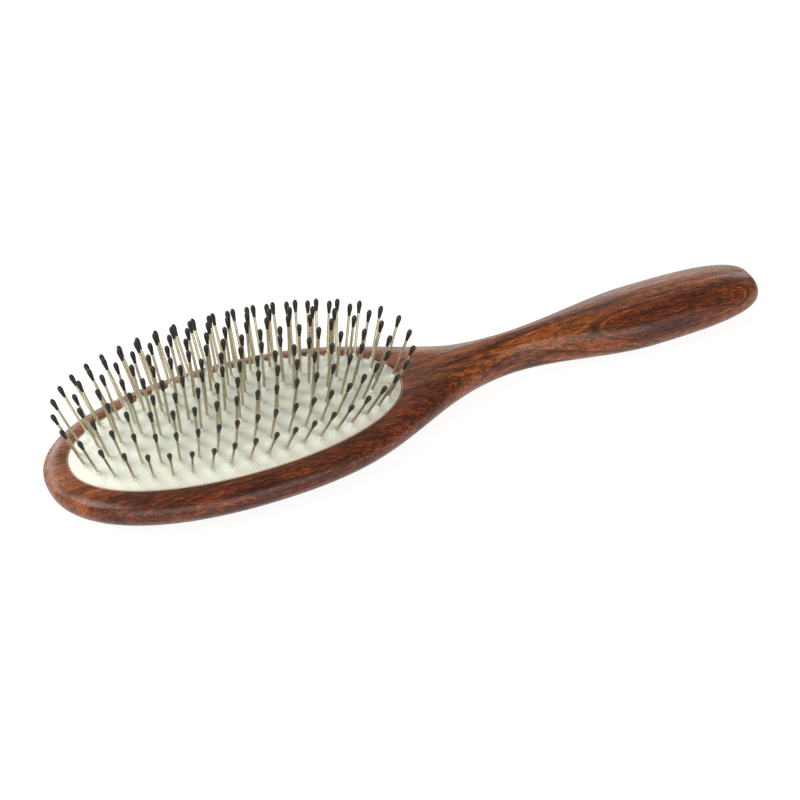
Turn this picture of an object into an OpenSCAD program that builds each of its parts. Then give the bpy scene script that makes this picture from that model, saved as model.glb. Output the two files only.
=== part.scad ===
// Oval cushion hair brush: one-piece wooden head and handle, a domed rubber cushion
// snapped into a recess in the head, and wire pins with moulded ball tips.
// Frame: the brush lies on its back, Z = 0 is the plane it lies on, the pins point up,
// X runs along the brush from the head (-X) to the handle (+X), origin mid-length.

/* [Wooden body] */
// Overall length of the brush
total_length = 242; // [230:1:254]
// Half length of the oval head, from its tip to the middle of the cushion
head_half_length = 62; // [60:0.5:66]
// Half width of the head at the middle of the cushion
head_half_width = 35.6; // [34:0.1:40]
// Exponent of the head's oval outline, 2 is a plain ellipse
head_roundness = 2.2; // [2:0.05:2.6]
// Height of the flat rim around the cushion
head_top = 12.8; // [12:0.1:15]
// Height of the widest line of the head's side
head_belly = 8.7; // [6:0.1:9]
// Width of the rounded edge round the top of the head
head_edge = 6.5; // [3:0.5:8]
// Width of the rounded part round the back of the head
head_back_edge = 22; // [12:1:30]
// Distance from cushion middle to the start of the shoulder curve
shoulder_start = 37; // [34:1:46]
// Distance from cushion middle to the narrowest place of the neck
neck_place = 94; // [80:1:100]
// Half width of the neck
neck_half_width = 6.3; // [6:0.1:9]
// Height of the underside of the neck
neck_underside = 2.2; // [0:0.1:3]
// Distance from cushion middle to the widest place of the handle
handle_place = 139; // [130:1:155]
// Half width of the handle at its widest
handle_half_width = 13; // [11:0.1:16]
// Height of the top of the handle
handle_top = 15.9; // [12:0.1:18]
// Distance over which the top climbs from the rim to the handle
top_rise = 90; // [60:5:110]
// Exponent of the outline of the handle's end, 2 is an ellipse and higher is blunter
handle_end_roundness = 3.4; // [2:0.1:4]
// Exponent of the fall in height towards the handle's end, higher is blunter
handle_end_fall = 2.7; // [2:0.1:6]
// Depth by which the flat resting land cuts the rounded back
land_cut = 0.3; // [0.1:0.05:0.6]

/* [Cushion] */
// Half length of the cushion at the rim of the recess
cushion_half_length = 54; // [50:0.5:56]
// Half width of the cushion at the rim of the recess
cushion_half_width = 27.4; // [26:0.1:29]
// Exponent of the cushion's oval outline
cushion_roundness = 2.1; // [2:0.05:2.5]
// Height of the dome above the wooden rim
dome_height = 8; // [6:0.1:9]
// Exponent of the dome's profile, higher is flatter on top and steeper at the rim
dome_power = 3.1; // [2.4:0.05:3.6]
// Thickness of the rubber
rubber = 1.6; // [1.2:0.1:2]
// Depth of the recess below the wooden rim
recess_depth = 8; // [7:0.1:8.5]
// How far the bead of the cushion reaches into its groove
bead_reach = 1.8; // [1.2:0.1:2.2]
// Height of the bead
bead_height = 1.8; // [1.4:0.1:2.2]
// Depth of the bead's upper face below the wooden rim
bead_depth = 1.4; // [1:0.1:2]

/* [Pins] */
// Distance by which the pattern of pins stands nearer the handle than the cushion's middle
pin_shift = 0.6; // [0:0.1:1]
// Diameter of the pin wire
wire_d = 0.85; // [0.6:0.05:1]
// Length of a pin from the cushion's surface to the end of its tip
pin_reach = 18.6; // [15:0.1:20]
// Diameter of the flat head of a pin, under the cushion
pin_head_d = 2; // [1.6:0.1:2.4]
// Thickness of the flat head of a pin
pin_head_t = 0.5; // [0.4:0.1:0.8]
// Diameter of the moulded tip
tip_d = 1.6; // [1.3:0.05:2]
// Length of the moulded tip
tip_length = 4; // [3.4:0.1:4.5]
// How far the wire reaches into the tip
tip_bore = 2.4; // [1.5:0.1:2.6]

/* [Hidden] */

wood_colour = "#7a3b2a";
rubber_colour = "#d9dccd";
wire_colour = "#b9a57a";
tip_colour = "#26262a";

// Each ring of pins is an oval: half length, half width, outline exponent,
// number of pins, and the place of the first pin in steps from the long axis.
RINGS = [
    [50.8, 24.5, 2.1, 42, 0.5],
    [44.6, 20.6, 2.25, 38, 0],
    [38.8, 15.9, 2.25, 30, 0.5],
    [32.6, 11.2, 2.25, 24, 0.5],
    [27, 6, 2.1, 20, 0]];
centre_row_half = 15.8;
centre_row_pins = 6;

cushion_x = head_half_length - total_length / 2;
handle_end = total_length - head_half_length;
end_cap = handle_end - handle_place;
wire_r = wire_d / 2;
tip_r = tip_d / 2;
tip_skirt = 0.1;
pin_gap = 0.35;
inner_inset = 0.45;
hole_clearance = 0.06;
seat_clearance = 0.1;
stations = 30;
cap_stations = 10;
section_steps = 7;
section_count = 4 * section_steps + 2;
step_angle = 90 / section_steps;
edge_roundness = 2.2;
edge_limit = 0.96;
rim_points = 72;
dome_rings = 9;
arc_steps = 240;
tip_arc_step = 30;
round_facets = 24;
// The sections at both ends of the wood sit a hair inside it, so that none is a bare point.
first_step = 0.0008;
last_angle = 89;
cut_over = 5;
hole_over = 2;
least_rho = 0.001;

function power(v, p) = sign(v) * pow(abs(v), p);
function mix(a, b, t) = a + (b - a) * t;
function ease(t) = let (u = min(max(t, 0), 1)) u * u * (3 - 2 * u);
function oval(a, b, n, angle) =
    [a * power(cos(angle), 2 / n), b * power(sin(angle), 2 / n)];
// Height of a superellipse arch of height 1 at the share t of its half length.
function round_share(t, n) = pow(max(0, 1 - pow(t, n)), 1 / n);
function flat_outline(a, b, n, points) =
    [for (i = [0 : points - 1]) oval(a, b, n, 360 * i / points)];

// ---- wooden body: outline and heights along the brush, x from the cushion's middle ----
function head_width(x) =
    head_half_width * round_share(abs(x) / head_half_length, head_roundness);
shoulder_width = head_width(shoulder_start);
shoulder_slope = head_width(shoulder_start + 0.5) - head_width(shoulder_start - 0.5);
function shoulder_width_at(x) =
    let (run = neck_place - shoulder_start, t = (x - shoulder_start) / run)
    shoulder_width * (1 + t * t * (2 * t - 3))
    + run * shoulder_slope * t * (1 - t) * (1 - t)
    + neck_half_width * t * t * (3 - 2 * t);
function handle_width(x) = x < handle_place
    ? mix(neck_half_width, handle_half_width, ease((x - neck_place) / (handle_place - neck_place)))
    : handle_half_width * round_share((x - handle_place) / end_cap, handle_end_roundness);
function half_width(x) =
    x < shoulder_start ? head_width(x) : x < neck_place ? shoulder_width_at(x) : handle_width(x);

// The section through an outline point runs square to the outline and meets
// the long axis here.
head_draw = pow(head_half_width / head_half_length, 2);
cap_draw = pow(handle_half_width / end_cap, 2);
function along(x) = ease((x - shoulder_start) / (neck_place - shoulder_start));
function axis_place(x) =
    let (cap_side = x < handle_place ? x : handle_place + (x - handle_place) * (1 - cap_draw))
    mix(x * (1 - head_draw), cap_side, along(x));
function top_height(x) = mix(head_top, handle_top, ease((x - shoulder_start) / top_rise));
function bottom_height(x) = x < neck_place
    ? mix(-land_cut, neck_underside, along(x))
    : mix(neck_underside, -land_cut, ease((x - neck_place) / (handle_place - neck_place)));
function belly_height(x) = mix(head_belly, handle_top / 2, along(x));
function upper_edge(x) = mix(head_edge, handle_half_width, along(x));
function lower_edge(x) = mix(head_back_edge, handle_half_width, along(x));
function height_share(m) = round_share(max(0, (m - handle_place) / end_cap), handle_end_fall);

// Point of a section, on the upper or lower rounded edge: angle 0 is the widest
// line of the side and 90 is where the edge meets the flat of the top or the back.
function section_point(x, side, upper, angle) =
    let (w = half_width(x),
         m = axis_place(x),
         edge = min(edge_limit, (upper ? upper_edge(x) : lower_edge(x)) / norm([x - m, w])),
         reach = 1 - edge + edge * pow(cos(angle), 2 / edge_roundness),
         lift = height_share(m) * pow(sin(angle), 2 / edge_roundness),
         z = mix(belly_height(x), upper ? top_height(x) : bottom_height(x), lift))
    [m + (x - m) * reach, side * w * reach, max(0, z)];
// One closed section: near side up, far side down, far side under, near side back.
function section(x) = concat(
    [for (i = [0 : section_steps]) section_point(x, -1, true, step_angle * i)],
    [for (i = [section_steps : -1 : 0]) section_point(x, 1, true, step_angle * i)],
    [for (i = [1 : section_steps]) section_point(x, 1, false, step_angle * i)],
    [for (i = [section_steps : -1 : 1]) section_point(x, -1, false, step_angle * i)]);
wood_stations = concat(
    [for (i = [0 : stations]) mix(-head_half_length, shoulder_start,
        first_step + (1 - first_step) * (1 - cos(90 * i / stations)))],
    [for (i = [1 : stations]) mix(shoulder_start, handle_place, i / stations)],
    [for (i = [1 : cap_stations]) handle_place + end_cap * sin(last_angle * i / cap_stations)]);

// Faces that close the end ring: they join the near side to the far side.
function end_cap_faces(first, turned) =
    let (half = 2 * section_steps + 1,
         faces = [for (i = [0 : section_steps - 1])
             let (near_up = first + i, far_up = first + half - i,
                  near_low = first + (section_count - i) % section_count,
                  near_lower = first + section_count - i - 1,
                  far_low = first + half + i)
             each [[near_up + 1, near_up, far_up], [near_up + 1, far_up, far_up - 1],
                 [near_low, near_lower, far_low], [near_lower, far_low + 1, far_low]]])
    turned ? [for (f = faces) [f[2], f[1], f[0]]] : faces;

module section_skin(xs) {
    n = section_count;
    polyhedron(
        points = [for (x = xs) each section(x)],
        faces = concat(
            [for (s = [0 : len(xs) - 2], i = [0 : n - 1], k = [0, 1])
                let (a = s * n + i, b = s * n + (i + 1) % n)
                k == 0 ? [a, b, a + n] : [b, b + n, a + n]],
            end_cap_faces(0, false),
            end_cap_faces((len(xs) - 1) * n, true)),
        convexity = 6);
}

module oval_prism(a, b, low, high) {
    translate([0, 0, low])
        linear_extrude(high - low)
            polygon(flat_outline(a, b, cushion_roundness, rim_points));
}

module wood_body() {
    color(wood_colour)
        translate([cushion_x, 0, 0])
            difference() {
                section_skin(wood_stations);
                translate([0, 0, head_top]) {
                    oval_prism(cushion_half_length + seat_clearance,
                        cushion_half_width + seat_clearance, -recess_depth, cut_over);
                    oval_prism(cushion_half_length + bead_reach + seat_clearance,
                        cushion_half_width + bead_reach + seat_clearance,
                        -bead_depth - bead_height - seat_clearance, -bead_depth + seat_clearance);
                }
            }
}

// ---- cushion ----
function dome(rho) = dome_height * (1 - pow(rho, dome_power));
// Outer and inner profile as [half length, half width, height above the wooden rim].
// The inner dome is drawn in a little as well as lowered, which keeps the rubber's
// thickness nearly even where the dome is steep.
function ring_at(inset, rho, drop) =
    [(cushion_half_length - inset) * rho, (cushion_half_width - inset) * rho, dome(rho) - drop];
function rim_ring(out, height) =
    [cushion_half_length + out, cushion_half_width + out, height];
cushion_rings = concat(
    [for (i = [1 : dome_rings]) ring_at(0, sin(90 * i / dome_rings), 0)],
    [rim_ring(0, -bead_depth),
     rim_ring(bead_reach, -bead_depth),
     rim_ring(bead_reach, -bead_depth - bead_height),
     rim_ring(-rubber, -bead_depth - bead_height)],
    [for (i = [dome_rings : -1 : 1]) ring_at(inner_inset, sin(90 * i / dome_rings), rubber)]);

module oval_skin(rings, crown, floor_height) {
    n = rim_points;
    last = len(rings) - 1;
    crown_point = len(rings) * n;
    polyhedron(
        points = concat(
            [for (r = rings, i = [0 : n - 1])
                concat(oval(r[0], r[1], cushion_roundness, 360 * i / n), [r[2]])],
            [[0, 0, crown], [0, 0, floor_height]]),
        faces = concat(
            [for (i = [0 : n - 1]) [crown_point, (i + 1) % n, i]],
            [for (s = [0 : last - 1], i = [0 : n - 1], k = [0, 1])
                let (a = s * n + i, b = s * n + (i + 1) % n)
                k == 0 ? [a, b, a + n] : [b, b + n, a + n]],
            [for (i = [0 : n - 1]) [crown_point + 1, last * n + i, last * n + (i + 1) % n]]),
        convexity = 6);
}

// ---- pins ----
// Length of the oval from its start to each step, paired with the angle.
function arc_table(a, b, n) =
    let (p = [for (i = [0 : arc_steps]) oval(a, b, n, 360 * i / arc_steps)],
         d = [for (i = [1 : arc_steps]) norm(p[i] - p[i - 1])])
    [for (i = 0, s = 0; i <= arc_steps; s = s + (i < arc_steps ? d[i] : 0), i = i + 1)
        [s, 360 * i / arc_steps]];
function ring_places(r) =
    let (table = arc_table(r[0], r[1], r[2]), whole = table[arc_steps][0])
    [for (i = [0 : r[3] - 1])
        oval(r[0], r[1], r[2], lookup(whole * (i + r[4]) / r[3], table))];
function row_places() =
    [for (i = [0 : centre_row_pins - 1])
        [mix(-centre_row_half, centre_row_half, i / (centre_row_pins - 1)), 0]];
function places(k) =
    [for (p = k < len(RINGS) ? ring_places(RINGS[k]) : row_places()) p + [pin_shift, 0]];

// Direction of a pin: square to the dome at its foot.
function rho_at(p) = min(1, norm([p[0] / cushion_half_length, p[1] / cushion_half_width]));
function pin_axis(p) =
    let (k = dome_height * dome_power * pow(max(rho_at(p), least_rho), dome_power - 2))
    [k * p[0] / pow(cushion_half_length, 2), k * p[1] / pow(cushion_half_width, 2), 1];

module on_dome(p) {
    v = pin_axis(p);
    translate([cushion_x + p[0], p[1], head_top + dome(rho_at(p))])
        rotate([0, atan2(norm([v[0], v[1]]), v[2]), atan2(v[1], v[0])])
            children();
}

module cushion_pad() {
    color(rubber_colour)
        difference() {
            translate([cushion_x, 0, head_top])
                oval_skin(cushion_rings, dome_height, dome_height - rubber);
            for (k = [0 : len(RINGS)])
                for (p = places(k))
                    on_dome(p)
                        translate([0, 0, -rubber - hole_over])
                            cylinder(r = wire_r + hole_clearance, h = rubber + 2 * hole_over,
                                $fn = round_facets);
        }
}

module pin_wires(k) {
    seat = -rubber - pin_gap;
    color(wire_colour)
        for (p = places(k))
            on_dome(p)
                rotate_extrude($fn = round_facets)
                    polygon([[0, seat - pin_head_t], [pin_head_d / 2, seat - pin_head_t],
                        [pin_head_d / 2, seat], [wire_r, seat],
                        [wire_r, pin_reach - tip_length + tip_bore],
                        [0, pin_reach - tip_length + tip_bore]]);
}

module pin_tips(k) {
    foot = pin_reach - tip_length;
    centre = pin_reach - tip_r;
    color(tip_colour)
        for (p = places(k))
            on_dome(p)
                rotate_extrude($fn = round_facets)
                    polygon(concat(
                        [[0, foot + tip_bore], [wire_r, foot + tip_bore], [wire_r, foot],
                         [wire_r + tip_skirt, foot]],
                        [for (a = [-tip_arc_step : tip_arc_step : 90])
                            [tip_r * cos(a), centre + tip_r * sin(a)]]));
}

wood_body();
cushion_pad();
pin_wires(0);  // pin_wires_ring_1
pin_wires(1);  // pin_wires_ring_2
pin_wires(2);  // pin_wires_ring_3
pin_wires(3);  // pin_wires_ring_4
pin_wires(4);  // pin_wires_ring_5
pin_wires(5);  // pin_wires_centre_row
pin_tips(0);  // pin_tips_ring_1
pin_tips(1);  // pin_tips_ring_2
pin_tips(2);  // pin_tips_ring_3
pin_tips(3);  // pin_tips_ring_4
pin_tips(4);  // pin_tips_ring_5
pin_tips(5);  // pin_tips_centre_row
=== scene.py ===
"""Looks of the cushioned pin hair brush: wooden body, rubber cushion, wire pins with moulded tips."""

import math

import bmesh
import bpy
import numpy as np
from mathutils import Matrix, Vector


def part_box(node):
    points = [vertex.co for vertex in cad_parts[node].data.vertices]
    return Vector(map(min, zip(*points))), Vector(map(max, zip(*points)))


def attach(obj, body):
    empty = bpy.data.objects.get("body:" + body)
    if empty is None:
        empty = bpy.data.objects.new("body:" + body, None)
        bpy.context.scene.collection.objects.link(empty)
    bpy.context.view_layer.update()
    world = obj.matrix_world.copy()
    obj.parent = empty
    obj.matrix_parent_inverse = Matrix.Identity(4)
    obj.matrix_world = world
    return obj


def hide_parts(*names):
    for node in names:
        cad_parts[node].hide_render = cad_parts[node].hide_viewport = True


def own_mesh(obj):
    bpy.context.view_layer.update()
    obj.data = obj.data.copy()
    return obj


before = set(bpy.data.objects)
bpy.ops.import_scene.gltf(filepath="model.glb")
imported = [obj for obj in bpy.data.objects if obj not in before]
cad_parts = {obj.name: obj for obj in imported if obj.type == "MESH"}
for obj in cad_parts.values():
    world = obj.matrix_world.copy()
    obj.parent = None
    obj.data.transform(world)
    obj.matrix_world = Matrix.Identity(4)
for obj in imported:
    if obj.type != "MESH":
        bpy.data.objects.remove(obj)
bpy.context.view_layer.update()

MM = 0.001

# ---- sizes: the frame's boxes, and the design values that a box can't give ----

# Lengths are in millimetres; a ROUNDNESS, POWER or FALL is a curve's exponent, and EDGE_LIMIT a share
BEAD_REACH = 1.8
BEAD_HEIGHT = 1.8
BEAD_DEPTH = 1.4
RECESS_DEPTH = 8.0
DOME_POWER = 3.1
OVAL_ROUNDNESS = 2.1
RUBBER = 1.6
INNER_INSET = 0.45

wood_lo, wood_hi = (np.array(corner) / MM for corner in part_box("wood_body"))
pad_lo, pad_hi = (np.array(corner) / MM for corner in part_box("cushion_pad"))

CUSHION_X = (pad_lo[0] + pad_hi[0]) / 2
CUSHION_A = (pad_hi[0] - pad_lo[0]) / 2 - BEAD_REACH
CUSHION_B = (pad_hi[1] - pad_lo[1]) / 2 - BEAD_REACH
RIM_Z = pad_lo[2] + BEAD_HEIGHT + BEAD_DEPTH
DOME_HEIGHT = pad_hi[2] - RIM_Z

HEAD_A = CUSHION_X - wood_lo[0]
HEAD_B = wood_hi[1]
HANDLE_TOP = wood_hi[2]
HANDLE_END = wood_hi[0] - CUSHION_X
HEAD_ROUNDNESS = 2.2
HEAD_BELLY = 8.7
HEAD_EDGE = 6.5
HEAD_BACK_EDGE = 22.0
SHOULDER_START = 37.0
NECK_PLACE = 94.0
NECK_HALF_WIDTH = 6.3
NECK_UNDERSIDE = 2.2
HANDLE_PLACE = 139.0
HANDLE_HALF_WIDTH = 13.0
TOP_RISE = 90.0
HANDLE_END_ROUNDNESS = 3.4
HANDLE_END_FALL = 2.7
LAND_CUT = 0.3
EDGE_ROUNDNESS = 2.2
EDGE_LIMIT = 0.96

WIRE_R = 0.425
PIN_REACH = 18.6
PIN_HEAD_R = 1.0
PIN_HEAD_T = 0.5
PIN_GAP = 0.35
TIP_R = 0.8
TIP_LENGTH = 4.0

# Half length, half width, outline exponent, number of pins, place of the first pin in steps
RINGS = {
    "ring_1": (50.8, 24.5, 2.1, 42, 0.5),
    "ring_2": (44.6, 20.6, 2.25, 38, 0),
    "ring_3": (38.8, 15.9, 2.25, 30, 0.5),
    "ring_4": (32.6, 11.2, 2.25, 24, 0.5),
    "ring_5": (27, 6, 2.1, 20, 0),
}
CENTRE_ROW_HALF = 15.8
CENTRE_ROW_PINS = 6
PIN_SHIFT = 0.6


def power(v, p):
    return np.sign(v) * np.abs(v) ** p


def mix(a, b, t):
    return a + (b - a) * t


def ease(t):
    t = np.clip(t, 0, 1)
    return t * t * (3 - 2 * t)


def round_share(t, n):
    """Height of a superellipse arch of height 1 at the share t of its half length."""
    return max(0.0, 1 - t**n) ** (1 / n)


def oval(a, b, n, angle):
    """Points of an oval outline, angle in radians."""
    return np.stack([a * power(np.cos(angle), 2 / n), b * power(np.sin(angle), 2 / n)], -1)


# ---- meshes ----


def new_object(name, verts_mm, faces, material):
    mesh = bpy.data.meshes.new(name)
    mesh.from_pydata((np.asarray(verts_mm) * MM).tolist(), [], faces)
    mesh.materials.append(material)
    mesh.update()
    mesh.shade_smooth()
    obj = bpy.data.objects.new(name, mesh)
    bpy.context.scene.collection.objects.link(obj)
    return obj


def ring_faces(rings, count, first=0):
    """Quads between rings of count points each, every ring closed on itself."""
    i = np.arange(count)
    j = (i + 1) % count
    faces = []
    for k in range(rings - 1):
        a, b = first + k * count, first + (k + 1) * count
        faces += np.stack([a + i, b + i, b + j, a + j], -1).tolist()
    return faces


# ---- wooden body ----

# Width of the rounded lip of the recess, and the room round the cushion in it
LIP = 0.7
SEAT_GAP = 0.08
# How softly the rounded back runs into its flat land, in square millimetres, and the height below
# which it does
LAND_SOFTNESS = 0.01
LAND_BLEND = 2.0
# Angles that put the first and last sections just inside the ends of the wood
HEAD_START = 0.02
CAP_STOP = 1.56


def head_width(x):
    return HEAD_B * round_share(abs(x) / HEAD_A, HEAD_ROUNDNESS)


def half_width(x):
    """Half the width of the wood, x from the cushion's middle."""
    if x < SHOULDER_START:
        return head_width(x)
    if x < NECK_PLACE:
        run = NECK_PLACE - SHOULDER_START
        t = (x - SHOULDER_START) / run
        slope = head_width(SHOULDER_START + 0.5) - head_width(SHOULDER_START - 0.5)
        start = head_width(SHOULDER_START)
        return (
            start * (1 + t * t * (2 * t - 3))
            + run * slope * t * (1 - t) ** 2
            + NECK_HALF_WIDTH * t * t * (3 - 2 * t)
        )
    if x < HANDLE_PLACE:
        t = (x - NECK_PLACE) / (HANDLE_PLACE - NECK_PLACE)
        return mix(NECK_HALF_WIDTH, HANDLE_HALF_WIDTH, ease(t))
    t = (x - HANDLE_PLACE) / (HANDLE_END - HANDLE_PLACE)
    return HANDLE_HALF_WIDTH * round_share(t, HANDLE_END_ROUNDNESS)


def section(x, steps):
    """One closed section of the wood, square to its outline: near side up, over, and back below."""
    w = half_width(x)
    along = ease((x - SHOULDER_START) / (NECK_PLACE - SHOULDER_START))
    cap = max(0.0, x - HANDLE_PLACE)
    cap_draw = (HANDLE_HALF_WIDTH / (HANDLE_END - HANDLE_PLACE)) ** 2
    middle = mix(x * (1 - (HEAD_B / HEAD_A) ** 2), x - cap * cap_draw, along)
    belly = mix(HEAD_BELLY, HANDLE_TOP / 2, along)
    top = mix(RIM_Z, HANDLE_TOP, ease((x - SHOULDER_START) / TOP_RISE))
    handle_t = ease((x - NECK_PLACE) / (HANDLE_PLACE - NECK_PLACE))
    bottom = mix(mix(-LAND_CUT, NECK_UNDERSIDE, along), -LAND_CUT, handle_t)
    fall_t = max(0.0, (middle - HANDLE_PLACE) / (HANDLE_END - HANDLE_PLACE))
    height_share = round_share(fall_t, HANDLE_END_FALL)
    run = math.hypot(x - middle, w)

    def quarter(edge, far_z, angles):
        share = min(EDGE_LIMIT, mix(edge, HANDLE_HALF_WIDTH, along) / run)
        reach = 1 - share + share * np.cos(angles) ** (2 / EDGE_ROUNDNESS)
        z = mix(belly, far_z, height_share * np.sin(angles) ** (2 / EDGE_ROUNDNESS))
        land = (z + np.sqrt(z * z + LAND_SOFTNESS)) / 2
        return np.stack([middle + (x - middle) * reach, w * reach, np.where(z < LAND_BLEND, land, z)], -1)

    angles = np.linspace(0, math.pi / 2, steps + 1)
    upper = quarter(HEAD_EDGE, top, angles)
    lower = quarter(HEAD_BACK_EDGE, bottom, angles[1:])
    near = np.array([1, -1, 1])
    return np.concatenate([upper * near, upper[::-1], lower, lower[::-1] * near])


def wood_skin(material, steps=22):
    quarter_turn = np.linspace(HEAD_START, math.pi / 2, 110)
    head = -HEAD_A + (HEAD_A + SHOULDER_START) * (1 - np.cos(quarter_turn))
    shaft = np.linspace(SHOULDER_START, HANDLE_PLACE, 130)[1:]
    cap = HANDLE_PLACE + (HANDLE_END - HANDLE_PLACE) * np.sin(np.linspace(0, CAP_STOP, 50))[1:]
    stations = np.concatenate([head, shaft, cap])
    loops = np.array([section(x, steps) for x in stations])
    count = loops.shape[1]
    verts = loops.reshape(-1, 3) + [CUSHION_X, 0, 0]
    faces = ring_faces(len(loops), count)
    half = 2 * steps + 1
    # Each end is closed by quads from edge to edge of its section
    for first, turn in ((0, 1), ((len(loops) - 1) * count, -1)):
        for i in range(steps):
            top = [first + i, first + i + 1, first + half - i - 1, first + half - i]
            low = [(count - i) % count, half + i, half + i + 1, count - i - 1]
            faces += [top[::turn], [first + v for v in low][::turn]]
    return new_object("wooden_body", verts, faces, material)


def recess_cutter(material, points=360):
    """What the mill takes out of the head: a rounded lip, the wall, the bead's groove and the chamber."""
    over_rim = 2.0
    turns = np.linspace(math.pi / 2, 0, 7)
    profile = [(LIP + SEAT_GAP, over_rim)]
    profile += [(SEAT_GAP + LIP * (1 - math.cos(t)), LIP * (math.sin(t) - 1)) for t in turns]
    groove = BEAD_REACH + SEAT_GAP
    groove_top = -BEAD_DEPTH + SEAT_GAP
    groove_floor = -BEAD_DEPTH - BEAD_HEIGHT - SEAT_GAP
    profile += [
        (SEAT_GAP, groove_top),
        (groove, groove_top),
        (groove, groove_floor),
        (SEAT_GAP, groove_floor),
        (SEAT_GAP, -RECESS_DEPTH),
    ]
    angles = np.linspace(0, 2 * math.pi, points, endpoint=False)
    rings = []
    for out, drop in profile:
        ring = oval(CUSHION_A + out, CUSHION_B + out, OVAL_ROUNDNESS, angles)
        rings.append(np.c_[ring[:, 0] + CUSHION_X, ring[:, 1], np.full(points, RIM_Z + drop)])
    faces = ring_faces(len(rings), points)
    last = (len(rings) - 1) * points
    faces += [list(range(points)), list(range(last + points - 1, last - 1, -1))]
    return new_object("recess_cutter", np.concatenate(rings), faces, material)


def outward(obj):
    """Turns a closed mesh's faces outwards."""
    work = bmesh.new()
    work.from_mesh(obj.data)
    bmesh.ops.recalc_face_normals(work, faces=work.faces)
    work.to_mesh(obj.data)
    work.free()


def wooden_body(material):
    body = wood_skin(material)
    cutter = recess_cutter(material)
    outward(body)
    outward(cutter)
    cut = body.modifiers.new("recess", "BOOLEAN")
    cut.operation = "DIFFERENCE"
    cut.solver = "EXACT"
    cut.object = cutter
    evaluated = body.evaluated_get(bpy.context.evaluated_depsgraph_get())
    mesh = bpy.data.meshes.new_from_object(evaluated)
    body.modifiers.clear()
    body.data = mesh
    bpy.data.objects.remove(cutter)
    mesh.shade_smooth()
    mesh.set_sharp_from_angle(angle=math.radians(40))
    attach(body, "body")
    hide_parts("wood_body")


# ---- pins: where they stand ----


def dome(rho):
    return DOME_HEIGHT * (1 - np.clip(rho, 0, 1) ** DOME_POWER)


def oval_places(a, b, n, count, start):
    """Places at equal distances along an oval."""
    angles = np.linspace(0, 2 * math.pi, 2001)
    outline = oval(a, b, n, angles)
    steps = np.linalg.norm(np.diff(outline, axis=0), axis=1)
    run = np.concatenate([[0], np.cumsum(steps)])
    wanted = run[-1] * (np.arange(count) + start) / count
    return oval(a, b, n, np.interp(wanted, run, angles))


def rho_at(x, y):
    return np.hypot(x / CUSHION_A, y / CUSHION_B)


def pin_frames(places):
    """Foot on the dome and direction of each pin, square to the dome."""
    x, y = places[:, 0], places[:, 1]
    rho = rho_at(x, y)
    k = DOME_HEIGHT * DOME_POWER * np.maximum(rho, 0.001) ** (DOME_POWER - 2)
    axes = np.stack([k * x / CUSHION_A**2, k * y / CUSHION_B**2, np.ones(len(x))], -1)
    axes /= np.linalg.norm(axes, axis=1)[:, None]
    feet = np.stack([x + CUSHION_X, y, RIM_Z + dome(rho)], -1)
    return feet, axes


PLACES = {name: oval_places(*ring) for name, ring in RINGS.items()}
row_x = np.linspace(-CENTRE_ROW_HALF, CENTRE_ROW_HALF, CENTRE_ROW_PINS)
PLACES["centre_row"] = np.stack([row_x, np.zeros(CENTRE_ROW_PINS)], -1)
PLACES = {name: places + [PIN_SHIFT, 0] for name, places in PLACES.items()}


# ---- turned shapes ----


def lathe(profile, sides):
    """Points and faces of a turned shape along Z, with a point at each end of the profile."""
    angles = np.linspace(0, 2 * math.pi, sides, endpoint=False)
    body = profile[1:-1]
    rings = [np.c_[r * np.cos(angles), r * np.sin(angles), np.full(sides, z)] for r, z in body]
    verts = np.concatenate(rings + [[[0, 0, profile[0][1]], [0, 0, profile[-1][1]]]])
    low, high = len(verts) - 2, len(verts) - 1
    faces = ring_faces(len(body), sides)
    last = (len(body) - 1) * sides
    for i in range(sides):
        j = (i + 1) % sides
        faces += [[low, i, j], [high, last + j, last + i]]
    return verts, faces


def turned(profile, sides, feet, axes):
    """Points and faces of the same turned shape standing at every foot."""
    shape, faces = lathe(profile, sides)
    verts, all_faces = [], []
    for count, (foot, axis) in enumerate(zip(feet, axes)):
        turn = np.array(Vector(axis).to_track_quat("Z", "Y").to_matrix())
        verts.append(shape @ turn.T + foot)
        all_faces += [[v + count * len(shape) for v in face] for face in faces]
    return np.concatenate(verts), all_faces


# ---- cushion ----

# Swell of the rubber round each pin
SWELL_HEIGHT = 0.95
SWELL_RADIUS = 1.8
# A shallow waviness of the dome: its height, and its run along and across for one radian
WAVE_HEIGHT = 0.12
WAVE_ALONG = 9
WAVE_ACROSS = 6
# Share of the dome's radius in which both fade out at the rim
FADE_SHARE = 0.04
# Rounding of the bead's corners
BEAD_ROUND = 0.3
# Outline of the small collar that a pin comes out of: radius, height above the dome
NUB_SIDES = 16
NUB_PROFILE = [
    (0, -0.6),
    (1.35, -0.6),
    (1.35, 0.1),
    (1.18, 0.34),
    (0.98, 0.62),
    (0.82, 0.95),
    (0.70, 1.3),
    (0.62, 1.62),
    (0.54, 1.78),
    (0.45, 1.80),
    (0, 1.80),
]


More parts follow.
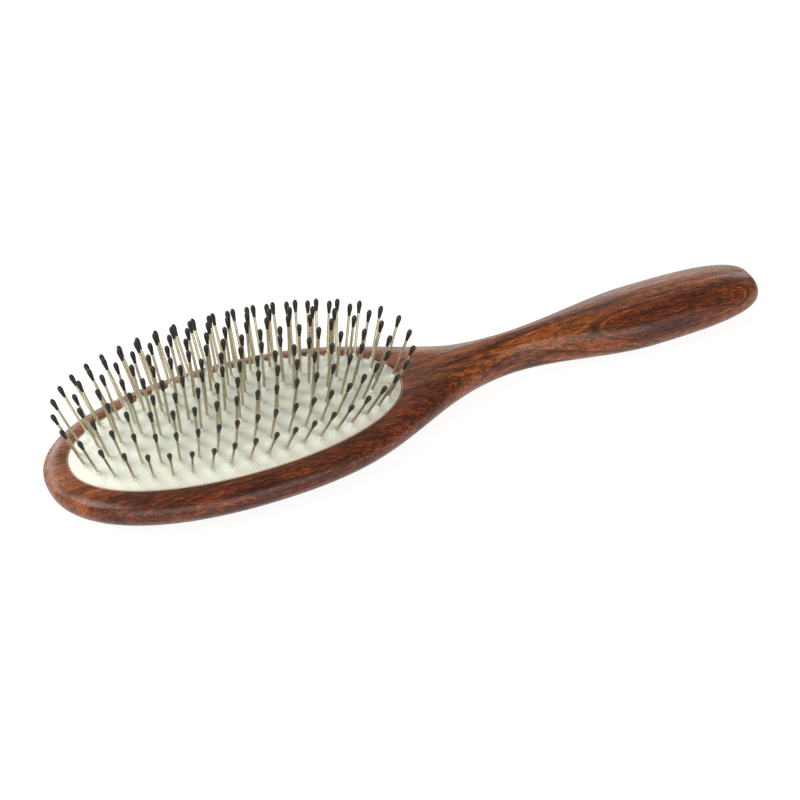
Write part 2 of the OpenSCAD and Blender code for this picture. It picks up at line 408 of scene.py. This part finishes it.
def rubber_cushion(material, points=500, rings=116):
    """The moulded pad: a dome swollen round each pin, a bead in the groove, hollow below."""
    angles = np.linspace(0, 2 * math.pi, points, endpoint=False)
    unit = oval(1, 1, OVAL_ROUNDNESS, angles)
    rho = np.linspace(0, 1, rings + 1)[1:]
    x = CUSHION_A * rho[:, None] * unit[:, 0]
    y = CUSHION_B * rho[:, None] * unit[:, 1]
    level = rho_at(x, y)
    top = np.stack([x + CUSHION_X, y, RIM_Z + dome(level)], -1).reshape(-1, 3)

    feet, axes = pin_frames(np.concatenate(list(PLACES.values())))
    lift = np.zeros_like(top)
    for foot, axis in zip(feet, axes):
        d = np.linalg.norm(top - foot, axis=1)
        lift += (SWELL_HEIGHT * np.exp(-((d / SWELL_RADIUS) ** 2)))[:, None] * axis
    waves = np.sin(top[:, 0] / WAVE_ALONG + 1) * np.cos(top[:, 1] / WAVE_ACROSS)
    lift[:, 2] += WAVE_HEIGHT * waves
    top += lift * ease((1 - level.reshape(-1)) / FADE_SHARE)[:, None]

    def ring_at(a, b, z):
        return np.c_[a * unit[:, 0] + CUSHION_X, b * unit[:, 1], np.full(points, z)]

    bead = [
        ring_at(CUSHION_A + out, CUSHION_B + out, RIM_Z + z)
        for out, z in (
            (0, -0.5),
            (0, -BEAD_DEPTH + 0.15),
            (0.2, -BEAD_DEPTH),
            (BEAD_REACH - BEAD_ROUND, -BEAD_DEPTH),
            (BEAD_REACH, -BEAD_DEPTH - BEAD_ROUND),
            (BEAD_REACH, -BEAD_DEPTH - BEAD_HEIGHT + BEAD_ROUND),
            (BEAD_REACH - BEAD_ROUND, -BEAD_DEPTH - BEAD_HEIGHT),
            (-RUBBER, -BEAD_DEPTH - BEAD_HEIGHT),
        )
    ]
    inner = [
        ring_at(
            (CUSHION_A - INNER_INSET) * r, (CUSHION_B - INNER_INSET) * r, RIM_Z + dome(r) - RUBBER
        )
        for r in np.linspace(1, 0.08, 14)
    ]
    verts = np.concatenate([top] + bead + inner)
    crown = len(verts)
    under = crown + 1
    poles = [
        [CUSHION_X, 0, RIM_Z + DOME_HEIGHT + 0.1],
        [CUSHION_X, 0, RIM_Z + DOME_HEIGHT - RUBBER],
    ]
    verts = np.concatenate([verts, poles])
    total_rings = rings + len(bead) + len(inner)
    faces = ring_faces(total_rings, points)
    last = (total_rings - 1) * points
    for i in range(points):
        j = (i + 1) % points
        faces += [[crown, i, j], [under, last + j, last + i]]
    nubs, nub_faces = turned(NUB_PROFILE, NUB_SIDES, feet, axes)
    faces += [[v + len(verts) for v in face] for face in nub_faces]
    pad = new_object("rubber_cushion", np.concatenate([verts, nubs]), faces, material)
    outward(pad)
    pad.data.set_sharp_from_angle(angle=math.radians(60))
    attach(pad, "body")
    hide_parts("cushion_pad")
    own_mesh(pad)


# ---- pins: their shape ----

# Length of the wire that the tip hides, and the share of the tip's length at which it is widest
WIRE_IN_TIP = 1.2
TIP_WIDEST = 0.70
WIRE_SIDES = 14
TIP_SIDES = 20
# Spread of the pins' lean, in radians
PIN_LEAN = 0.010


def wire_profile():
    seat = -RUBBER - PIN_GAP
    end = PIN_REACH - TIP_LENGTH + WIRE_IN_TIP
    shank = [(WIRE_R, s) for s in np.linspace(seat + 0.15, end - 0.05, 9)]
    return (
        [(0, seat - PIN_HEAD_T), (PIN_HEAD_R * 0.9, seat - PIN_HEAD_T)]
        + [(PIN_HEAD_R, seat - PIN_HEAD_T * 0.75), (PIN_HEAD_R, seat - 0.1)]
        + [(PIN_HEAD_R * 0.9, seat), (WIRE_R * 1.2, seat)]
        + shank
        + [(WIRE_R * 0.8, end), (0, end)]
    )


def tip_profile():
    """A drop: a thin collar on the wire, swelling to a round end."""
    foot = PIN_REACH - TIP_LENGTH
    widest = foot + TIP_WIDEST * TIP_LENGTH
    swell = [
        (mix(WIRE_R + 0.08, TIP_R, ease(t)), mix(foot, widest, t)) for t in np.linspace(0, 1, 10)
    ]
    end = [
        (TIP_R * math.cos(a), widest + (PIN_REACH - widest) * math.sin(a))
        for a in np.linspace(0.14, 1.45, 9)
    ]
    return [(0, foot), (WIRE_R + 0.02, foot)] + swell + end + [(0, PIN_REACH)]


def pins(wire_material, tip_material):
    rng = np.random.default_rng(7)
    for body, places in PLACES.items():
        feet, axes = pin_frames(places)
        axes = axes + rng.normal(0, PIN_LEAN, axes.shape)
        wires = new_object(f"wires_{body}", *turned(wire_profile(), WIRE_SIDES, feet, axes), wire_material)
        tips = new_object(f"tips_{body}", *turned(tip_profile(), TIP_SIDES, feet, axes), tip_material)
        for piece, node, slot in ((wires, "pin_wires_", "wire"), (tips, "pin_tips_", "tip")):
            outward(piece)
            piece.data.set_sharp_from_angle(angle=math.radians(50))
            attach(piece, body)
            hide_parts(node + body)


# ---- materials ----

# Growth rings of the wood, in millimetres: their pitch, the place of the one that bounds the handle's
# tongue, and how far they wander; then their climb in each millimetre along the brush
RING_PITCH = 3.6
TONGUE_DEPTH = 17.9
RING_WANDER = 2.0
RING_CLIMB = 0.022
# Cloth imprint in the rubber: pitch of the ribs in millimetres, and their direction in degrees
RIB_PITCH = 0.70
RIB_LEAN = 30


class Shader:
    """A material under construction, with short calls for the nodes it uses."""

    def __init__(self, name):
        self.material = bpy.data.materials.new(name)
        self.material.use_nodes = True
        self.tree = self.material.node_tree
        self.surface = self.tree.nodes["Principled BSDF"]
        self.place = self.add("ShaderNodeTexCoord").outputs["Object"]

    def add(self, kind, **settings):
        node = self.tree.nodes.new(kind)
        for key, value in settings.items():
            setattr(node, key, value)
        return node

    def feed(self, socket, value):
        if isinstance(value, bpy.types.NodeSocket):
            self.tree.links.new(value, socket)
        else:
            socket.default_value = value

    def math(self, operation, *values):
        node = self.add("ShaderNodeMath", operation=operation)
        for socket, value in zip(node.inputs, values):
            self.feed(socket, value)
        return node.outputs[0]

    def scaled(self, factors, offset=(0, 0, 0)):
        """The place in millimetres, times factors, plus an offset."""
        node = self.add("ShaderNodeVectorMath", operation="MULTIPLY_ADD")
        self.feed(node.inputs[0], self.place)
        node.inputs[1].default_value = [f / MM for f in factors]
        node.inputs[2].default_value = offset
        return node.outputs[0]

    def noise(self, vector, detail=4.0, roughness=0.5, distortion=0.0):
        node = self.add("ShaderNodeTexNoise")
        self.feed(node.inputs["Vector"], vector)
        node.inputs["Scale"].default_value = 1.0
        node.inputs["Detail"].default_value = detail
        node.inputs["Roughness"].default_value = roughness
        node.inputs["Distortion"].default_value = distortion
        return node.outputs["Fac"]

    def ramp(self, value, *stops):
        """A colour ramp; a stop is (place, grey) or (place, (r, g, b))."""
        node = self.add("ShaderNodeValToRGB")
        self.feed(node.inputs[0], value)
        node.color_ramp.interpolation = "EASE"
        while len(node.color_ramp.elements) < len(stops):
            node.color_ramp.elements.new(0.5)
        for element, (at, colour) in zip(node.color_ramp.elements, stops):
            element.position = at
            rgb = colour if isinstance(colour, tuple) else (colour,) * 3
            element.color = (*rgb, 1)
        return node.outputs["Color"]

    def blend(self, share, first, second, mode="MIX"):
        node = self.add("ShaderNodeMix", data_type="RGBA", blend_type=mode)
        self.feed(node.inputs["Factor"], share)
        for socket, value in ((node.inputs[6], first), (node.inputs[7], second)):
            self.feed(socket, (*value, 1) if isinstance(value, tuple) else value)
        return node.outputs[2]

    def bump(self, height, distance_mm, strength=1.0, under=None):
        node = self.add("ShaderNodeBump")
        node.inputs["Strength"].default_value = strength
        node.inputs["Distance"].default_value = distance_mm * MM
        self.feed(node.inputs["Height"], height)
        if under is not None:
            self.feed(node.inputs["Normal"], under)
        return node.outputs["Normal"]

    def finish(self, **sockets):
        for name, value in sockets.items():
            self.feed(self.surface.inputs[name.replace("_", " ")], value)
        return self.material


def wood_material():
    """Dark reddish hardwood: growth rings cut lengthwise, fibre streaks, pores, satin lacquer."""
    s = Shader("lacquered_wood")
    split = s.add("ShaderNodeSeparateXYZ")
    s.feed(split.inputs[0], s.scaled((1, 1, 1)))
    x, y, z = split.outputs

    # The growth rings lean towards the near side, so the bulging handle cuts one of them in a long
    # closed tongue, dark outside its outline and redder inside.
    wander = s.noise(s.scaled((0.020, 0.06, 0.06), (3.1, 0.7, 1.9)), 3, 0.5)
    depth = s.math("MULTIPLY", s.math("SUBTRACT", z, y), 0.707)
    depth = s.math("MULTIPLY_ADD", wander, RING_WANDER, depth)
    depth = s.math("SUBTRACT", depth, TONGUE_DEPTH)
    from_tongue = s.math("MULTIPLY_ADD", x, RING_CLIMB, depth)
    ring = s.math("FRACT", s.math("DIVIDE", from_tongue, RING_PITCH))
    ring_line = s.ramp(ring, (0.0, 0.0), (0.08, 0.08), (0.70, 0.22), (0.93, 1.0), (1.0, 0.0))
    tongue = s.ramp(from_tongue, (0.0, 0.0), (0.12, 1.0))

    streak = s.noise(s.scaled((0.060, 0.9, 0.9)), 6, 0.62, 0.25)
    fleck = s.noise(s.scaled((0.36, 2.7, 2.7), (2, 5, 1)), 4, 0.75, 0.2)
    mottle = s.noise(s.scaled((0.035, 0.14, 0.14), (11, 3, 7)), 5, 0.6, 0.6)
    warmth = s.noise(s.scaled((0.05, 0.22, 0.22), (1, 9, 4)), 4, 0.6, 0.4)
    pore = s.noise(s.scaled((0.5, 4.5, 4.5), (7, 1, 4)), 3, 0.6)
    pore_mask = s.ramp(pore, (0.56, 0.0), (0.66, 1.0))

    tone = s.math("MULTIPLY_ADD", streak, 1.05, -0.78)
    tone = s.math("MULTIPLY_ADD", fleck, 1.9, tone)
    shade = s.ramp(mottle, (0.38, 0.0), (0.68, 1.0))
    handle_share = s.ramp(s.math("MULTIPLY_ADD", x, 0.008, 0.5), (0.3, 0.35), (0.9, 1.0))
    figure = s.math("MULTIPLY", ring_line, handle_share)
    for share, weight in ((shade, 0.22), (figure, 0.30), (tongue, 0.17), (pore_mask, 0.12)):
        tone = s.math("MULTIPLY_ADD", share, -weight, tone)
    colour = s.ramp(
        tone,
        (0.20, (0.0250, 0.0072, 0.0026)),
        (0.45, (0.0830, 0.0222, 0.0055)),
        (0.72, (0.2120, 0.0640, 0.0160)),
        (0.98, (0.3500, 0.1230, 0.0370)),
    )
    red_share = s.math("MULTIPLY_ADD", tongue, 0.5, s.ramp(warmth, (0.40, 0.0), (0.62, 0.5)))
    colour = s.blend(red_share, colour, (1.0, 0.66, 0.55), "MULTIPLY")

    # Painted highlight: a paler tan on the narrow rounded lip that the cushion meets, standing in for the
    # light that the lip catches
    far_x = s.math("ABSOLUTE", s.math("DIVIDE", s.math("SUBTRACT", x, CUSHION_X), CUSHION_A + LIP))
    far_y = s.math("ABSOLUTE", s.math("DIVIDE", y, CUSHION_B + LIP))
    far_x = s.math("POWER", far_x, OVAL_ROUNDNESS)
    rho = s.math("ADD", far_x, s.math("POWER", far_y, OVAL_ROUNDNESS))
    above = s.math("GREATER_THAN", z, RIM_Z - 0.9)
    lip = s.math("MULTIPLY", s.ramp(rho, (0.0, 1.0), (0.990, 1.0), (1.0, 0.0)), above)
    # Mix the lip's painted highlight into the wood colour
    colour = s.blend(s.math("MULTIPLY", lip, 0.8), colour, (0.46, 0.27, 0.15))

    grain_height = s.math("MULTIPLY_ADD", pore_mask, -0.8, fleck)
    return s.finish(
        Base_Color=colour,
        Roughness=s.ramp(mottle, (0.3, 0.42), (0.7, 0.54)),
        Normal=s.bump(grain_height, 0.07, 0.5),
        Specular_IOR_Level=0.10,
        Coat_Weight=0.46,
        Coat_Roughness=0.24,
        Coat_Normal=s.bump(grain_height, 0.025, 0.3),
    )


def cushion_material():
    """Pale grey-green rubber with the imprint of a fine diagonal cloth."""
    s = Shader("woven_rubber")
    split = s.add("ShaderNodeSeparateXYZ")
    s.feed(split.inputs[0], s.scaled((1, 1, 1)))
    x, y, _ = split.outputs
    lean = math.radians(RIB_LEAN)
    across = s.math("MULTIPLY_ADD", x, -math.sin(lean), s.math("MULTIPLY", y, math.cos(lean)))
    along = s.math("MULTIPLY_ADD", x, math.cos(lean), s.math("MULTIPLY", y, math.sin(lean)))
    rib = s.math("SINE", s.math("MULTIPLY", across, 2 * math.pi / RIB_PITCH))
    thread = s.math("SINE", s.math("MULTIPLY", along, 2 * math.pi / (RIB_PITCH * 1.6)))
    weave = s.math("MULTIPLY_ADD", thread, 0.35, rib)
    cloud = s.noise(s.scaled((0.09, 0.13, 0.2)), 3, 0.5)
    speck = s.noise(s.scaled((1.4, 1.4, 1.4), (4, 4, 4)), 3, 0.6)
    colour = s.ramp(cloud, (0.3, (0.565, 0.58, 0.51)), (0.7, (0.645, 0.66, 0.58)))
    colour = s.blend(s.math("MULTIPLY_ADD", weave, -0.13, 0.14), colour, (0.30, 0.32, 0.26))
    colour = s.blend(s.math("MULTIPLY", speck, 0.12), colour, (0.44, 0.44, 0.37))
    return s.finish(
        Base_Color=colour,
        Roughness=s.ramp(speck, (0.3, 0.48), (0.7, 0.62)),
        Normal=s.bump(weave, 0.05, 0.7, s.bump(speck, 0.06, 0.25)),
        Specular_IOR_Level=0.45,
        Subsurface_Weight=0.25,
        Subsurface_Scale=0.0015,
    )


def wire_material():
    """Drawn wire with champagne-brass plating, a little tarnished."""
    s = Shader("plated_wire")
    tarnish = s.noise(s.scaled((0.16, 0.16, 0.12)), 3, 0.5)
    drawn = s.noise(s.scaled((3, 3, 0.15), (1, 2, 3)), 2, 0.5)
    colour = s.ramp(tarnish, (0.3, (0.41, 0.365, 0.25)), (0.7, (0.56, 0.515, 0.375)))
    return s.finish(
        Base_Color=colour,
        Metallic=1.0,
        Roughness=s.ramp(drawn, (0.3, 0.24), (0.7, 0.34)),
        Normal=s.bump(drawn, 0.004, 0.2),
    )


def tip_material():
    """Charcoal-black moulded plastic, satin."""
    s = Shader("moulded_tip")
    skin = s.noise(s.scaled((2.2, 2.2, 2.2)), 4, 0.6)
    colour = s.ramp(skin, (0.3, (0.0065, 0.0060, 0.0050)), (0.7, (0.0140, 0.0125, 0.0105)))
    return s.finish(
        Base_Color=colour,
        Roughness=s.ramp(skin, (0.3, 0.36), (0.7, 0.50)),
        Normal=s.bump(skin, 0.02, 0.3),
        Specular_IOR_Level=0.35,
    )


def floor_material():
    s = Shader("pale_floor")
    tone = s.noise(s.scaled((0.01, 0.01, 0.01)), 2, 0.5)
    colour = s.ramp(tone, (0.3, (0.90, 0.90, 0.90)), (0.7, (0.91, 0.91, 0.91)))
    return s.finish(
        Base_Color=s.blend(0.8, colour, (0.0, 0.0, 0.0)),
        Roughness=0.9,
        Specular_IOR_Level=0.1,
        Emission_Color=colour,
        Emission_Strength=0.98,
    )


# ---- studio ----


def floor():
    side = 3000
    verts = [[-side, -side, 0], [side, -side, 0], [side, side, 0], [-side, side, 0]]
    new_object("floor", verts, [[0, 1, 2, 3]], floor_material())


def area_light(name, place, aim, width, height, colour, watts):
    data = bpy.data.lights.new(name, "AREA")
    data.shape = "RECTANGLE"
    data.size = width
    data.size_y = height
    data.color = colour
    data.energy = watts
    light = bpy.data.objects.new(name, data)
    light.location = place
    light.visible_camera = False
    light.rotation_mode = "QUATERNION"
    light.rotation_quaternion = (Vector(aim) - Vector(place)).to_track_quat("-Z", "Y")
    bpy.context.scene.collection.objects.link(light)


def studio():
    """A softbox high on the left, low ones in front, behind left and behind, and a dim room."""
    world = bpy.data.worlds.new("studio")
    world.use_nodes = True
    world.node_tree.nodes["Background"].inputs["Color"].default_value = (1, 1, 1, 1)
    world.node_tree.nodes["Background"].inputs["Strength"].default_value = 0.30
    scene = bpy.context.scene
    scene.world = world
    scene.view_settings.view_transform = "Standard"
    aim = (0, 0, 0.01)
    area_light("key", (-1.05, 0.15, 1.35), aim, 1.0, 1.0, (1.0, 1.0, 1.0), 22)
    area_light("front", (-0.22, -0.95, 0.42), aim, 1.7, 0.85, (1.0, 0.94, 0.86), 14)
    area_light("left", (-0.75, 1.08, 0.50), aim, 1.7, 0.75, (1.0, 0.96, 0.92), 14)
    area_light("rear", (0.45, 1.15, 0.28), aim, 1.5, 0.52, (1.0, 0.98, 0.92), 5.5)


def camera():
    """Camera at the angle of the product view: seen from the front left of the head, handle going away."""
    turn = math.radians(21.6)
    height = math.radians(34.8)
    roll = math.radians(-3.9)
    focal_share = 4.281
    right = np.array([math.cos(turn), -math.sin(turn), 0])
    away = np.array([math.sin(turn), math.cos(turn), 0])
    forward = math.cos(height) * away - np.array([0, 0, math.sin(height)])
    up = np.cross(right, forward)
    c, sn = math.cos(roll), math.sin(roll)
    turn_view = np.array([[c, -sn, 0], [sn, c, 0], [0, 0, 1]])
    view = turn_view @ np.array([right, -up, forward])
    # The middle of the cushion's rim as the camera has it: to the right, down and away, in metres
    offset = np.array([-0.05039, 0.00665, 1.0557])
    place = -view.T @ offset + np.array([CUSHION_X, 0, RIM_Z]) * MM
    axes = Matrix([view[0], -view[1], -view[2]]).transposed()
    data = bpy.data.cameras.new("camera")
    data.sensor_width = 36
    data.lens = focal_share * data.sensor_width
    data.clip_start = 0.05
    data.clip_end = 20
    obj = bpy.data.objects.new("camera", data)
    obj.matrix_world = Matrix.Translation(place) @ axes.to_4x4()
    bpy.context.scene.collection.objects.link(obj)
    bpy.context.scene.camera = obj


camera()
studio()
floor()
wooden_body(wood_material())
rubber_cushion(cushion_material())
pins(wire_material(), tip_material())

bpy.context.view_layer.update()
